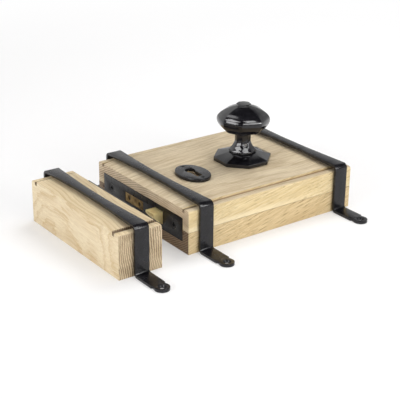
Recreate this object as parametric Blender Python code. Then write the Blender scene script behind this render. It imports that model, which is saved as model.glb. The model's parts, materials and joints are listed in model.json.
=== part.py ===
"""A period box lock in oak bound with black iron straps, and the oak keep that its bolts enter.

The lock lies on its back. X runs along the case, away from the keep, Y runs from the near feet
of the straps to the far ones, and Z is up, away from the door. Sizes are in metres. Places are
measured from the case's near left bottom corner, where the empty called lock_datum stands. The
floor's origin is below the middle of the whole set.
"""

import math

import bmesh
import bpy
from mathutils import Vector

MM = 0.001

# Clearances
SEAT = 0.3 * MM  # between two pieces that rest on or against each other
RUN = 0.4 * MM  # around a piece that slides or turns
PAST = 2 * MM  # how far a cut runs out beyond the face it opens

# The oak case: two boards with the lock body let in between them
CASE_LENGTH = 198 * MM
CASE_WIDTH = 155 * MM
BOARD = 22 * MM
FALL = 1.4 * MM  # how far the top falls at each end
FALL_LENGTH = 11 * MM

# The bead worked along both long edges, with a quirk between it and the field
BEAD_WIDTH = 7 * MM
BEAD_ROUND = 2.5 * MM  # on its outer edge
BEAD_EASE = 0.8 * MM  # on the edge towards the quirk
BEAD_DROP = 1.1 * MM
QUIRK_WIDTH = 3 * MM
QUIRK_DEPTH = 3.5 * MM

# The oak keep, which stands off the case's left end
KEEP_WIDTH = 45.5 * MM
KEEP_LENGTH = 155 * MM
KEEP_GAP = 33.6 * MM
KEEP_SHIFT = 6.8 * MM  # towards the near side
KEEP_ROUND = 4.5 * MM  # on the edge that the latch strikes

# Iron straps, which are narrower along the middle of their top
STRAP_WIDTH = 14.8 * MM
STRAP_WAIST = 8.8 * MM
WAIST_LONG = 38 * MM
WAIST_CURVE = 1.15  # how late the waist widens: 1 is a straight taper
STRAP_THICK = 2.6 * MM
STRAP_BEND = 2 * MM  # inside a bend
STRAP_LIFT = 2.6 * MM  # above the oak
STRAP_OFF = 1.3 * MM  # off the oak's near side
LEFT_STRAP_IN = 17.9 * MM  # strap centre from the case's left end
RIGHT_STRAP_IN = 16.2 * MM
KEEP_STRAP_IN = 23.5 * MM  # strap centre from the keep's inner face
NEAR_REACH = 41.5 * MM  # from the oak to the tip of a near foot
FAR_REACH = 30 * MM
PENNY_RADIUS = 7.1 * MM
NICK_BACK = 4.8 * MM  # nick centre from penny centre
NICK_RADIUS = 1.5 * MM
FOOT_HOLE = 2.2 * MM
FOOT_SINK = 4 * MM

# Forend plate and its screws
FOREND_WIDTH = 23.2 * MM
FOREND_THICK = 3 * MM
FOREND_SCREW_OUT = 7.7 * MM  # beyond the lock body, at each end
FOREND_END = 14.1 * MM  # from a screw to the plate's end
MID_Z = 21.6 * MM  # middle height of the forend and both bolts
SCREW_HEAD = 3.9 * MM
SCREW_SHANK = 1.8 * MM
SCREW_LENGTH = 19 * MM
SCREW_POINT = 2  # length of the point, in radii of the shank
SCREW_TIP = 0.2  # radius of the tip, in radii of the shank
CROSS_REACH = 0.58  # the recess, in radii of the head
CROSS_HALF = 0.2
CROSS_DEEP = 0.3

# Lock body: a folded steel tray with a cap
TRAY_PAST_KNOB = 26.3 * MM  # from the knob's axis to the tray's right end
TRAY_PAST_LATCH = 17 * MM  # from the latch's middle line to its near wall
TRAY_PAST_LEAF = 6.1 * MM  # from the rise of the levers' leaves to its far wall
TRAY_CLEAR = 14.6 * MM  # between floor and cap
SHEET = 1.5 * MM
POST_RADIUS = 3 * MM
POST_LEFT_IN = 9 * MM  # from the tray's left end
POST_RIGHT_IN = 7 * MM
POST_WALL_IN = 6 * MM
POST_SIDE = -4 * MM  # from midway between the bolts
CAP_HEAD = 2.8 * MM
CAP_HEAD_HIGH = 1.3 * MM
CAP_HEAD_EASE = 0.6  # of the head, where its top is chamfered
CAP_SCREW_DEEP = 8 * MM
CAP_SCREW_CORE = 1.2 * MM

# Latch bolt
LATCH_SIDE = -29 * MM  # from the case's middle line
LATCH_WIDTH = 13.5 * MM
LATCH_HIGH = 12.8 * MM
LATCH_THROW = 10.2 * MM
LATCH_HEAD = 14 * MM  # length of head inside the forend's face
LATCH_NOSE = 2.2 * MM  # thickness of the bevelled tip
LATCH_KNEE_OUT = 0.6  # of the throw, where the bevel grows steeper
LATCH_KNEE_DROP = 0.5  # of the bevel's height
TAIL_SQUARE = 5 * MM
GUIDE_X = 47 * MM
GUIDE_THICK = 4 * MM
HOOK_THICK = 4 * MM
HOOK_RISE = 9.9 * MM  # its end above the tail's middle line
HOOK_BELOW = 0.5 * MM  # under the tail
SPRING_WIRE = 0.5 * MM
SPRING_RADIUS = 4.4 * MM
SPRING_TURNS = 9

# Dead bolt
BOLT_SIDE = 13 * MM  # from the case's middle line
BOLT_WIDTH = 31 * MM
BOLT_HIGH = 9 * MM
BOLT_HEAD = 24 * MM
BOLT_THROW = 13 * MM
BOLT_FACE = 0.2 * MM  # how far it sits behind the forend's face
BOLT_TAIL_THICK = 3 * MM
BOLT_TAIL_LIFT = 0.3 * MM  # tail's underside above the head's
BOLT_TAIL_NEAR = -6 * MM  # its edges from the bolt's middle line
BOLT_TAIL_FAR = 13 * MM
BOLT_TAIL_STEP = 3.5 * MM
BOLT_TAIL_SPARE = 3 * MM  # beyond the slot for the levers' post
TALON_WIDTH = 13 * MM
TALON_DEPTH = 3.5 * MM
PIN_RADIUS = 2.1 * MM
PIN_LENGTH = 17 * MM
PIN_SINK = 0.8 * MM
PIN_OUT = 9 * MM  # from the bolt's middle
STUMP_LONG = 4 * MM
STUMP_WIDE = 3 * MM
STUMP_BACK = 26 * MM  # from the levers' pivot

# Levers
LEVERS = 3
LEVER_THICK = 2 * MM
PIVOT_PAST_KEY = 44.3 * MM
PIVOT_SIDE = 3.5 * MM  # from the dead bolt's middle line
PIVOT_RADIUS = 2.8 * MM
LEVER_EYE = 6.5 * MM
LEVER_LIFT = 4  # degrees at full throw
LEVER_NOSE = 62 * MM  # from pivot to nose
LEVER_RISE = 9 * MM  # from pivot to top edge
LEVER_FOOT = 8 * MM  # from pivot to lower edge
LEVER_WRAP = 100  # degrees of the eye's round, above and below
LEVER_LEVEL = 22 * MM  # from the pivot to where the top edge starts to fall
LEVER_FALL = 1.5 * MM
NOSE_CORNER = 4.3 * MM
NOSE_TOP = 5 * MM  # of the nose, below the levers' top edge
NOSE_LOW = 4 * MM  # of the nose, above their lower edge
BELLY_HALF = 9.8 * MM
BELLY_DROPS = (1.2 * MM, 0.4 * MM, 0.8 * MM)  # one cut for each lever
POCKET_LOW = 6.4 * MM
POCKET_HIGH = 4 * MM
GATE_BAR = 2.5 * MM
LEAF_THICK = 0.8 * MM
LEAF_ROOT = 8 * MM  # from pivot to where the leaf is let in
LEAF_TIP = 40 * MM
LEAF_RISE = 23.4 * MM
LEAF_SEAT = 4 * MM  # how deep it is let in
LEAF_STEM = 3 * MM  # from the lever's top edge to its bend
LEAF_BEND = 1.5 * MM

# Keyhole, shared by the escutcheon and everything below it
KEY_SHARE = 0.271  # of the case's length, from its left end
KEY_SIDE = -4.3 * MM  # from the case's middle line
KEY_ROUND = 5.1 * MM
KEY_SLOT = 6.6 * MM
KEY_REACH = 17 * MM  # from the round's centre to the slot's end
KEY_FREE = 0.6 * MM  # how much wider the way below is

# Escutcheon
SHIELD_LONG = 42.8 * MM
SHIELD_WIDE = 30.8 * MM
SHIELD_THICK = 3 * MM
SHIELD_EASE = 0.8 * MM
SHIELD_BACK = 5 * MM  # its middle from the key's centre
SHIELD_SCREW_OUT = 16.8 * MM
SHIELD_SCREW_HEAD = 1.9 * MM
SHIELD_SCREW_CORE = 0.9 * MM
SHIELD_SCREW_LENGTH = 9 * MM

# Knob, rose, spindle and follower
KNOB_SHARE = 0.606  # of the case's length, from its left end
KNOB_SIDE = -2 * MM  # from the case's middle line
FACETS = 8
ROSE_RADIUS = 29.5 * MM  # to the corners
ROSE_TURN = 20  # degrees from +X to its first corner
ROSE_EDGE = 3.9 * MM
ROSE_HIGH = 7.9 * MM
ROSE_TOP = 15 * MM
ROSE_BORE = 7 * MM
KNOB_REST = 5  # degrees from +X to its first corner
KNOB_FOOT = 13.6 * MM
KNOB_LIP = 2.6 * MM
KNOB_EASE = 0.5 * MM  # on the corners of foot and button
NECK_SHY = 0.3 * MM  # of the neck's flare, inside the foot's edge
NECK_CURVE = 1.8  # how fast the flare dies away
NECK_RADIUS = 7.9 * MM
NECK_HIGH = 12.6 * MM  # where the neck is narrowest, above the knob's foot
BULB_START = 20.4 * MM
BULB_NECK = 9 * MM
BULB_RADIUS = 26.4 * MM
BULB_MIDDLE = 34.4 * MM
BULB_TOP = 47.7 * MM
CROWN_ARC = 55  # degrees of an ellipse, from the widest line to the button
BUTTON_RADIUS = 7.4 * MM
KNOB_HIGH = 50.2 * MM
SPINDLE = 8 * MM
SPINDLE_END = 2 * MM  # above the door
SOCKET_DEPTH = 26 * MM
GRUB_HIGH = 8.4 * MM  # above the knob's foot
GRUB_FACET = 5.5  # facets from the knob's first corner
GRUB_RADIUS = 1.8 * MM
GRUB_SOCKET = 0.9 * MM
GRUB_SOCKET_DEEP = 1.2 * MM
GRUB_OUT = 7.6 * MM
HUB_RADIUS = 10 * MM
BOSS_RADIUS = 7.6 * MM
ARM_THICK = 6 * MM
ARM_HALF = 1.5 * MM
ARM_TIP = 2.6 * MM
KNOB_TURN = 30  # degrees that draw the latch right back

# Keep plate
PLATE_LENGTH = 78.4 * MM
PLATE_SIDE = -1.7 * MM  # its middle from the case's middle line
PLATE_THICK = 1.8 * MM
PLATE_DEPTH = 3.3 * MM  # of the rebate that it stands in
PLATE_LOW = 8 * MM
PLATE_SHY = 0.7 * MM  # its top edge below the keep's
MOUTH_FREE = 1.2 * MM
MOUTH_DEPTH = 16 * MM
PLATE_SCREW_Z = 37.2 * MM
PLATE_SCREW_IN = 9 * MM
DOME_RADIUS = 3.8 * MM
DOME_HIGH = 2.3 * MM
DOME_SHANK = 1.6 * MM
DOME_LENGTH = 16 * MM

# Worked out from the sizes above
CASE_HEIGHT = 2 * BOARD
CASE_MID_Y = CASE_WIDTH / 2
CASE_LEFT = (KEEP_GAP + KEEP_WIDTH - CASE_LENGTH) / 2
CASE_NEAR = (KEEP_SHIFT + NEAR_REACH - CASE_WIDTH - FAR_REACH) / 2
FIELD_IN = BEAD_WIDTH + QUIRK_WIDTH
LATCH_Y = CASE_MID_Y + LATCH_SIDE
BOLT_Y = CASE_MID_Y + BOLT_SIDE
KEY_X = CASE_LENGTH * KEY_SHARE
KEY_Y = CASE_MID_Y + KEY_SIDE
KNOB_X = CASE_LENGTH * KNOB_SHARE
KNOB_Y = CASE_MID_Y + KNOB_SIDE
PIVOT_X = KEY_X + PIVOT_PAST_KEY
PIVOT_Y = BOLT_Y + PIVOT_SIDE
STUMP_X = PIVOT_X - STUMP_BACK
TRAY_NEAR = LATCH_Y - TRAY_PAST_LATCH
TRAY_FAR = PIVOT_Y + LEAF_RISE + TRAY_PAST_LEAF
FOREND_SCREWS = (
    ("near", TRAY_NEAR - FOREND_SCREW_OUT),
    ("far", TRAY_FAR + FOREND_SCREW_OUT),
)
FOREND_NEAR = TRAY_NEAR - FOREND_SCREW_OUT - FOREND_END
FOREND_FAR = TRAY_FAR + FOREND_SCREW_OUT + FOREND_END
TRAY_LEFT = FOREND_THICK + SEAT
TRAY_RIGHT = KNOB_X + TRAY_PAST_KNOB
FLOOR_Z = MID_Z - TRAY_CLEAR / 2
CEILING_Z = MID_Z + TRAY_CLEAR / 2
CAP_LOW = CEILING_Z + SEAT
CAP_TOP = CAP_LOW + SHEET
KEEP_INNER = -KEEP_GAP
KEEP_OUTER = KEEP_INNER - KEEP_WIDTH
KEEP_NEAR = -KEEP_SHIFT
KEEP_FAR = KEEP_NEAR + KEEP_LENGTH
PLATE_NEAR = CASE_MID_Y + PLATE_SIDE - PLATE_LENGTH / 2
PLATE_FAR = PLATE_NEAR + PLATE_LENGTH
REBATE_X = KEEP_INNER - PLATE_DEPTH
PLATE_X = REBATE_X + SEAT
PLATE_TOP = CASE_HEIGHT - PLATE_SHY
ARM_REACH = LATCH_THROW / 2 / math.sin(math.radians(KNOB_TURN / 2))
HOOK_X = KNOB_X - LATCH_THROW / 2 + ARM_TIP + SEAT
BOLT_TAIL_Z = MID_Z - BOLT_HIGH / 2 + BOLT_TAIL_LIFT
BOLT_TAIL_TOP = BOLT_TAIL_Z + BOLT_TAIL_THICK
POST_SLOT = PIVOT_RADIUS + RUN
BOLT_TAIL_END = PIVOT_X + BOLT_THROW + POST_SLOT + BOLT_TAIL_SPARE
LEVER_PITCH = LEVER_THICK + RUN
CAP_POSTS = (
    (TRAY_LEFT + POST_LEFT_IN, (LATCH_Y + BOLT_Y) / 2 + POST_SIDE),
    (TRAY_RIGHT - POST_RIGHT_IN, TRAY_NEAR + POST_WALL_IN),
    (TRAY_RIGHT - POST_RIGHT_IN, TRAY_FAR - POST_WALL_IN),
)
SHIELD_Y = KEY_Y - SHIELD_BACK
SHIELD_LOW = CASE_HEIGHT + SEAT
SHIELD_TOP = SHIELD_LOW + SHIELD_THICK
ROSE_LOW = CASE_HEIGHT + SEAT
KNOB_LOW = ROSE_LOW + ROSE_HIGH + SEAT
GRUB_TURN = KNOB_REST + GRUB_FACET * 360 / FACETS

AXES = {"X": (1, 2, 0), "Y": (0, 2, 1), "Z": (0, 1, 2)}


def clear_scene():
    for thing in list(bpy.data.objects):
        bpy.data.objects.remove(thing, do_unlink=True)


def finish(name, colour, metallic, roughness):
    made = bpy.data.materials.new(name)
    made.use_nodes = True
    shader = made.node_tree.nodes["Principled BSDF"]
    shader.inputs["Base Color"].default_value = (*colour, 1)
    shader.inputs["Metallic"].default_value = metallic
    shader.inputs["Roughness"].default_value = roughness
    made.diffuse_color = (*colour, 1)
    return made


def empty(name, location, parent=None):
    point = bpy.data.objects.new(name, None)
    bpy.context.scene.collection.objects.link(point)
    point.location = location
    point.parent = parent
    return point


def piece(name, bm, look, parent):
    bmesh.ops.recalc_face_normals(bm, faces=bm.faces)
    mesh = bpy.data.meshes.new(name)
    bm.to_mesh(mesh)
    bm.free()
    if look:
        mesh.materials.append(look)
    made = bpy.data.objects.new(name, mesh)
    bpy.context.scene.collection.objects.link(made)
    made.parent = parent
    return made


def smooth(made, angle=30):
    made.data.shade_smooth()
    made.data.set_sharp_from_angle(angle=math.radians(angle))
    return made


def arc(centre, radii, start, end, steps):
    """Points of an elliptical arc, from one angle to another in degrees."""
    points = []
    for step in range(steps + 1):
        angle = math.radians(start + (end - start) * step / steps)
        points.append((centre[0] + radii[0] * math.cos(angle), centre[1] + radii[1] * math.sin(angle)))
    return points


def prism(name, outline, low, high, axis, look=None, parent=None):
    """A solid of this outline, drawn across the axis, from low to high along it."""
    across, up, along = AXES[axis]
    bm = bmesh.new()
    ends = []
    for depth in (low, high):
        ring = []
        for a, b in outline:
            corner = [0, 0, 0]
            corner[across], corner[up], corner[along] = a, b, depth
            ring.append(bm.verts.new(corner))
        ends.append(ring)
    for ring in ends:
        bm.faces.new(ring)
    for i in range(len(outline)):
        j = (i + 1) % len(outline)
        bm.faces.new((ends[0][i], ends[0][j], ends[1][j], ends[1][i]))
    return piece(name, bm, look, parent)


def block(name, x, y, z, look=None, parent=None):
    outline = [(x[0], y[0]), (x[1], y[0]), (x[1], y[1]), (x[0], y[1])]
    return prism(name, outline, z[0], z[1], "Z", look, parent)


def turned(name, profile, centre, axis, sides=32, turn=0.0, look=None, parent=None):
    """A solid turned about an axis, from (radius, distance along the axis) points."""
    across, up, along = AXES[axis]
    bm = bmesh.new()
    rings = []
    for radius, depth in profile:
        ring = []
        for side in range(sides):
            angle = math.radians(turn + 360 * side / sides)
            corner = [0, 0, 0]
            corner[across] = centre[across] + radius * math.cos(angle)
            corner[up] = centre[up] + radius * math.sin(angle)
            corner[along] = centre[along] + depth
            ring.append(bm.verts.new(corner))
        rings.append(ring)
    for lower, upper in zip(rings, rings[1:]):
        for i in range(sides):
            j = (i + 1) % sides
            bm.faces.new((lower[i], lower[j], upper[j], upper[i]))
    bm.faces.new(rings[0])
    bm.faces.new(rings[-1])
    return piece(name, bm, look, parent)


def change(made, operation, others):
    for other in others:
        other.hide_render = True
        other.display_type = "WIRE"
        modifier = made.modifiers.new(other.name, "BOOLEAN")
        modifier.operation = operation
        modifier.object = other
    return made


def cut(made, *cutters):
    return change(made, "DIFFERENCE", cutters)


def fuse(made, *others):
    return change(made, "UNION", others)


def keep_inside(made, *others):
    return change(made, "INTERSECT", others)


def bent_bar(path, bend, thickness, steps=6):
    """The outline of a flat bar along this path, with bends of this radius on its middle line."""
    left, right = [], []
    corners = [Vector(point) for point in path]
    for i, here in enumerate(corners):
        before = (here - corners[i - 1]).normalized() if i else None
        after = (corners[i + 1] - here).normalized() if i + 1 < len(corners) else None
        if before is None or after is None:
            run = after or before
            stations = [(here, Vector((-run.y, run.x)))]
        else:
            turn = math.atan2(before.cross(after), before.dot(after))
            side = math.copysign(1, turn)
            back = bend * math.tan(abs(turn) / 2)
            centre = here - before * back + Vector((-before.y, before.x)) * bend * side
            stations = []
            for step in range(steps + 1):
                angle = turn * step / steps
                run = Vector((
                    before.x * math.cos(angle) - before.y * math.sin(angle),
                    before.x * math.sin(angle) + before.y * math.cos(angle),
                ))
                normal = Vector((-run.y, run.x))
                stations.append((centre - normal * bend * side, normal))
        for middle, normal in stations:
            left.append(tuple(middle + normal * thickness / 2))
            right.append(tuple(middle - normal * thickness / 2))
    return left + right[::-1]


def countersunk(name, centre, axis, hole, head, face, low, high):
    """A cutter for a screw hole whose countersink opens at this face, towards high."""
    depth = head - hole
    toward = math.copysign(1, high - low)
    profile = [(hole, low), (hole, face - depth * toward), (head, face), (head, high)]
    return turned(name, profile, centre, axis, 24)


def board_outline(near, far, low, high):
    """The section of a board whose top has a bead and a quirk along both edges."""
    bead = arc((BEAD_ROUND, -BEAD_DROP - BEAD_ROUND), (BEAD_ROUND, BEAD_ROUND), 180, 90, 6)
    inner = (BEAD_WIDTH - BEAD_EASE, -BEAD_DROP - BEAD_EASE)
    bead += arc(inner, (BEAD_EASE, BEAD_EASE), 90, 0, 3)
    bead += [(BEAD_WIDTH, -QUIRK_DEPTH), (FIELD_IN, -QUIRK_DEPTH), (FIELD_IN, 0)]
    left = [(near + inset, high + drop) for inset, drop in bead]
    right = [(far - inset, high + drop) for inset, drop in reversed(bead)]
    return [(near, low)] + left + right + [(far, low)]


def keyhole_outline(spare=0.0):
    """A round with a slot towards the near side, this much wider all round."""
    radius = KEY_ROUND + spare
    half = KEY_SLOT / 2 + spare
    spread = math.degrees(math.asin(half / radius))
    points = arc((KEY_X, KEY_Y), (radius, radius), -90 + spread, 270 - spread, 20)
    end = KEY_Y - KEY_REACH - spare
    return points + [(KEY_X - half, end), (KEY_X + half, end)]


def ellipse(wide, long, x, y, steps=48):
    return arc((x, y), (wide, long), 0, 360, steps)[:-1]


# The oak case
def case_boards(oak, datum):
    upper = prism(
        "case_upper_board",
        board_outline(0, CASE_WIDTH, BOARD, CASE_HEIGHT),
        0,
        CASE_LENGTH,
        "X",
        oak,
        datum,
    )
    lower = block(
        "case_lower_board",
        (0, CASE_LENGTH),
        (0, CASE_WIDTH),
        (0, BOARD - SEAT),
        oak,
        datum,
    )
    slope = FALL / FALL_LENGTH
    falls = []
    for name, end, inward in (("left", 0, 1), ("right", CASE_LENGTH, -1)):
        wedge = [
            (end - inward * PAST, CASE_HEIGHT - FALL - slope * PAST),
            (end + inward * FALL_LENGTH, CASE_HEIGHT),
            (end + inward * FALL_LENGTH, CASE_HEIGHT + PAST),
            (end - inward * PAST, CASE_HEIGHT + PAST),
        ]
        beside = FIELD_IN - QUIRK_WIDTH / 2
        falls.append(
            prism(f"cut_{name}_fall", wedge, beside, CASE_WIDTH - beside, "Y", None, datum)
        )
    pocket = block(
        "cut_lock_pocket",
        (FOREND_THICK - SEAT, TRAY_RIGHT + SEAT),
        (TRAY_NEAR - SEAT, TRAY_FAR + SEAT),
        (FLOOR_Z - SHEET - SEAT, CAP_TOP + CAP_HEAD_HIGH + SEAT),
        None,
        datum,
    )
    rebate = block(
        "cut_forend_rebate",
        (-PAST, FOREND_THICK + SEAT),
        (FOREND_NEAR - SEAT, FOREND_FAR + SEAT),
        (MID_Z - FOREND_WIDTH / 2 - SEAT, MID_Z + FOREND_WIDTH / 2 + SEAT),
        None,
        datum,
    )
    spindle_way = turned(
        "cut_spindle_way",
        [(BOSS_RADIUS + 2 * RUN, -PAST), (BOSS_RADIUS + 2 * RUN, CASE_HEIGHT + PAST)],
        (KNOB_X, KNOB_Y, 0),
        "Z",
        32,
        0,
        None,
        datum,
    )
    key_way = prism(
        "cut_key_way", keyhole_outline(KEY_FREE), -PAST, CASE_HEIGHT + PAST, "Z", None, datum
    )
    screws = []
    for side, y in FOREND_SCREWS:
        hole = [(SCREW_SHANK + SEAT, 0), (SCREW_SHANK + SEAT, SCREW_LENGTH + 2 * SEAT)]
        centre = (0, y, MID_Z)
        screws.append(turned(f"cut_pilot_{side}", hole, centre, "X", 16, 0, None, datum))
    cut(upper, *falls, pocket, rebate, spindle_way, key_way, *screws)
    cut(lower, pocket, rebate, spindle_way, key_way, *screws)
    return upper, lower


# The iron straps
def strap_side(near, far, steps=7):
    """Half the strap's width and the place, from the near bend to the far one."""
    middle = (near + far) / 2
    straight = WAIST_LONG / 2
    flare = (far - near) / 2 - straight
    half = []
    for step in range(steps + 1):
        share = 1 - step / steps
        wide = STRAP_WAIST + (STRAP_WIDTH - STRAP_WAIST) * share ** WAIST_CURVE
        half.append((wide / 2, straight + flare * share))
    side = [(wide, middle - away) for wide, away in half]
    return side + [(wide, middle + away) for wide, away in reversed(half)]


def strap_plan(middle, near_tip, near_bend, far_bend, far_tip):
    """The strap seen from above: a waisted bar with a penny and two nicks at each end."""
    half = STRAP_WIDTH / 2
    start = math.degrees(math.asin((NICK_BACK - NICK_RADIUS) / PENNY_RADIUS))
    nick = arc((half, NICK_BACK), (NICK_RADIUS, NICK_RADIUS), 90, 240, 5)
    penny = arc((0, 0), (PENNY_RADIUS, PENNY_RADIUS), start, -180 - start, 24)
    end = nick + penny + [(-x, y) for x, y in reversed(nick)]
    side = strap_side(near_bend, far_bend)
    outline = [(middle + x, near_tip + PENNY_RADIUS + y) for x, y in end]
    outline += [(middle - wide, y) for wide, y in side]
    outline += [(middle - x, far_tip - PENNY_RADIUS - y) for x, y in end]
    outline += [(middle + wide, y) for wide, y in reversed(side)]
    return outline


def strap(name, middle, near, far, iron, datum):
    """A flat bar bent over the oak from the near side to the far side, with feet on the floor."""
    low = STRAP_THICK / 2
    high = CASE_HEIGHT + STRAP_LIFT + low
    near_leg = near - STRAP_OFF - low
    far_leg = far + SEAT + low
    near_tip = near - NEAR_REACH
    far_tip = far + FAR_REACH
    path = [
        (near_tip - PAST, low),
        (near_leg, low),
        (near_leg, high),
        (far_leg, high),
        (far_leg, low),
        (far_tip + PAST, low),
    ]
    section = bent_bar(path, STRAP_BEND + low, STRAP_THICK)
    bar = prism(name, section, middle - STRAP_WIDTH, middle + STRAP_WIDTH, "X", iron, datum)
    plan = strap_plan(middle, near_tip, near_leg - low, far_leg + low, far_tip)
    keep_inside(bar, prism(f"plan_{name}", plan, -PAST, high + low + PAST, "Z", None, datum))
    for side, y in (("near", near_tip + PENNY_RADIUS), ("far", far_tip - PENNY_RADIUS)):
        hole = countersunk(
            f"cut_{name}_{side}",
            (middle, y, 0),
            "Z",
            FOOT_HOLE,
            FOOT_SINK,
            STRAP_THICK,
            -PAST,
            STRAP_THICK + PAST,
        )
        hole.parent = datum
        cut(bar, hole)
    return smooth(bar)


# Screws
def wood_screw(name, face, way, centre, axis, head, shank, length, look, parent):
    """A countersunk screw whose head lies at this face and whose tip points along way."""
    sizes = [
        (head, 0),
        (shank, head - shank),
        (shank, length - SCREW_POINT * shank),
        (SCREW_TIP * shank, length),
    ]
    profile = [(radius, face + way * depth) for radius, depth in sizes]
    screw = turned(name, profile, centre, axis, 16, 0, look, parent)
    across, up, along = AXES[axis]
    reach = CROSS_REACH * head
    half = CROSS_HALF * head
    for label, long, wide in (("across", reach, half), ("upright", half, reach)):
        low, high = [0, 0, 0], [0, 0, 0]
        low[across], high[across] = centre[across] - long, centre[across] + long
        low[up], high[up] = centre[up] - wide, centre[up] + wide
        low[along], high[along] = sorted((face - way * PAST, face + way * CROSS_DEEP * head))
        cut(screw, block(f"cut_{name}_{label}", *zip(low, high), None, parent))
    return smooth(screw)


# The lock body
def forend(iron, datum):
    plate = block(
        "forend",
        (0, FOREND_THICK),
        (FOREND_NEAR, FOREND_FAR),
        (MID_Z - FOREND_WIDTH / 2, MID_Z + FOREND_WIDTH / 2),
        iron,
        datum,
    )
    for side, y in FOREND_SCREWS:
        hole = countersunk(
            f"cut_forend_{side}",
            (0, y, MID_Z),
            "X",
            SCREW_SHANK + SEAT,
            SCREW_HEAD + 1.5 * SEAT,
            0,
            FOREND_THICK + PAST,
            -PAST,
        )
        hole.parent = datum
        cut(plate, hole)
    return plate


def bolt_ways(datum):
    """Cutters for the two ways that the bolts slide through."""
    ways = []
    for name, y, wide, high in (
        ("latch", LATCH_Y, LATCH_WIDTH, LATCH_HIGH),
        ("bolt", BOLT_Y, BOLT_WIDTH, BOLT_HIGH),
    ):
        ways.append(
            block(
                f"cut_{name}_way",
                (-PAST, TRAY_LEFT + SHEET + PAST),
                (y - wide / 2 - RUN, y + wide / 2 + RUN),
                (MID_Z - high / 2 - RUN, MID_Z + high / 2 + RUN),
                None,
                datum,
            )
        )
    return ways


def follower_ways(datum):
    """Cutters for the follower's bearing in floor and cap, and for the key."""
    ring = BOSS_RADIUS + RUN
    bearing = turned(
        "cut_bearing",
        [(ring, FLOOR_Z - SHEET - PAST), (ring, CAP_TOP + PAST)],
        (KNOB_X, KNOB_Y, 0),
        "Z",
        32,
        0,
        None,
        datum,
    )
    key = prism(
        "cut_key_in_steel",
        keyhole_outline(SEAT),
        FLOOR_Z - SHEET - PAST,
        CAP_TOP + PAST,
        "Z",
        None,
        datum,
    )
    return bearing, key


def lock_tray(steel, ways, bearing, key, datum):
    tray = block(
        "lock_tray",
        (TRAY_LEFT, TRAY_RIGHT),
        (TRAY_NEAR, TRAY_FAR),
        (FLOOR_Z - SHEET, CEILING_Z),
        steel,
        datum,
    )
    hollow = block(
        "cut_tray_hollow",
        (TRAY_LEFT + SHEET, TRAY_RIGHT - SHEET),
        (TRAY_NEAR + SHEET, TRAY_FAR - SHEET),
        (FLOOR_Z, CEILING_Z + PAST),
        None,
        datum,
    )
    cut(tray, hollow, *ways, bearing, key)
    root = FLOOR_Z - SHEET / 2
    posts = []
    for number, (x, y) in enumerate(CAP_POSTS, 1):
        stem = [(POST_RADIUS, root), (POST_RADIUS, CEILING_Z)]
        posts.append(turned(f"post_{number}", stem, (x, y, 0), "Z", 20, 0, None, datum))
    stem = [(PIVOT_RADIUS, root), (PIVOT_RADIUS, CEILING_Z)]
    posts.append(turned("post_pivot", stem, (PIVOT_X, PIVOT_Y, 0), "Z", 24, 0, None, datum))
    guide_half = LATCH_WIDTH / 2
    posts.append(
        block(
            "post_guide",
            (GUIDE_X, GUIDE_X + GUIDE_THICK),
            (LATCH_Y - guide_half, LATCH_Y + guide_half),
            (root, CEILING_Z),
            None,
            datum,
        )
    )
    fuse(tray, *posts)
    half = TAIL_SQUARE / 2 + RUN
    guide_hole = block(
        "cut_guide_hole",
        (GUIDE_X - PAST, GUIDE_X + GUIDE_THICK + PAST),
        (LATCH_Y - half, LATCH_Y + half),
        (MID_Z - half, MID_Z + half),
        None,
        datum,
    )
    cut(tray, guide_hole)
    for number, (x, y) in enumerate(CAP_POSTS, 1):
        core = CAP_SCREW_CORE + SEAT
        hole = [(core, CAP_TOP - CAP_SCREW_DEEP - SEAT), (core, CAP_TOP + PAST)]
        cut(tray, turned(f"cut_post_{number}", hole, (x, y, 0), "Z", 12, 0, None, datum))
    return tray


def lock_cap(steel, bearing, key, datum):
    cap = block(
        "lock_cap",
        (TRAY_LEFT, TRAY_RIGHT),
        (TRAY_NEAR, TRAY_FAR),
        (CAP_LOW, CAP_TOP),
        steel,
        datum,
    )
    cut(cap, bearing, key)
    for number, (x, y) in enumerate(CAP_POSTS, 1):
        core = CAP_SCREW_CORE + SEAT
        hole = [(core, CAP_LOW - PAST), (core, CAP_TOP + PAST)]
        cut(cap, turned(f"cut_cap_{number}", hole, (x, y, 0), "Z", 12, 0, None, datum))
    return cap


def cap_screws(steel, datum):
    for number, (x, y) in enumerate(CAP_POSTS, 1):
        profile = [
            (CAP_SCREW_CORE, CAP_TOP - CAP_SCREW_DEEP),
            (CAP_SCREW_CORE, CAP_TOP + SEAT / 2),
            (CAP_HEAD, CAP_TOP + SEAT / 2),
            (CAP_HEAD, CAP_TOP + CAP_HEAD_EASE * CAP_HEAD_HIGH),
            (CAP_HEAD_EASE * CAP_HEAD, CAP_TOP + CAP_HEAD_HIGH),
        ]
        smooth(turned(f"cap_screw_{number}", profile, (x, y, 0), "Z", 12, 0, steel, datum))


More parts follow.
